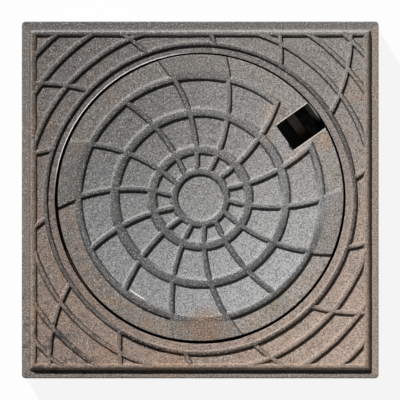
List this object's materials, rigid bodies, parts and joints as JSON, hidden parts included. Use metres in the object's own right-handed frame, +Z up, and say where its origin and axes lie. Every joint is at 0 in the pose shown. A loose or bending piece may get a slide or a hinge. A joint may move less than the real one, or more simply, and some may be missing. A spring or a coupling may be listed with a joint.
{
  "type": "access cover",
  "caption": "Round ribbed cast-iron cover with an open lifting notch, lying on a seat ring in a square cast-iron frame with a conical pocket and a clear round opening.",
  "frame": {"origin": "centre of the frame's bed, on the plane that it stands on", "axes": "+Z up out of the road, +Y towards the top of the plan view, +X to its right"},
  "size_m": [0.48, 0.48, 0.1],
  "materials": {
    "frame_iron": "sand-cast, rusted brown with orange patches and grey worn crests",
    "cover_iron": "sand-cast, worn to bare grey in the middle, brown towards the edge",
    "seat_rubber": "dusty black moulded rubber"
  },
  "bodies": {
    "frame": {"frame": "frame_iron", "seat_gasket": "seat_rubber"},
    "cover": {"cover": "cover_iron"}
  },
  "joints": [
    {"name": "cover_lift", "type": "slide", "parent": "frame", "child": "cover", "axis": [0, 0, 1], "range_m": [0, 0.15]}
  ]
}
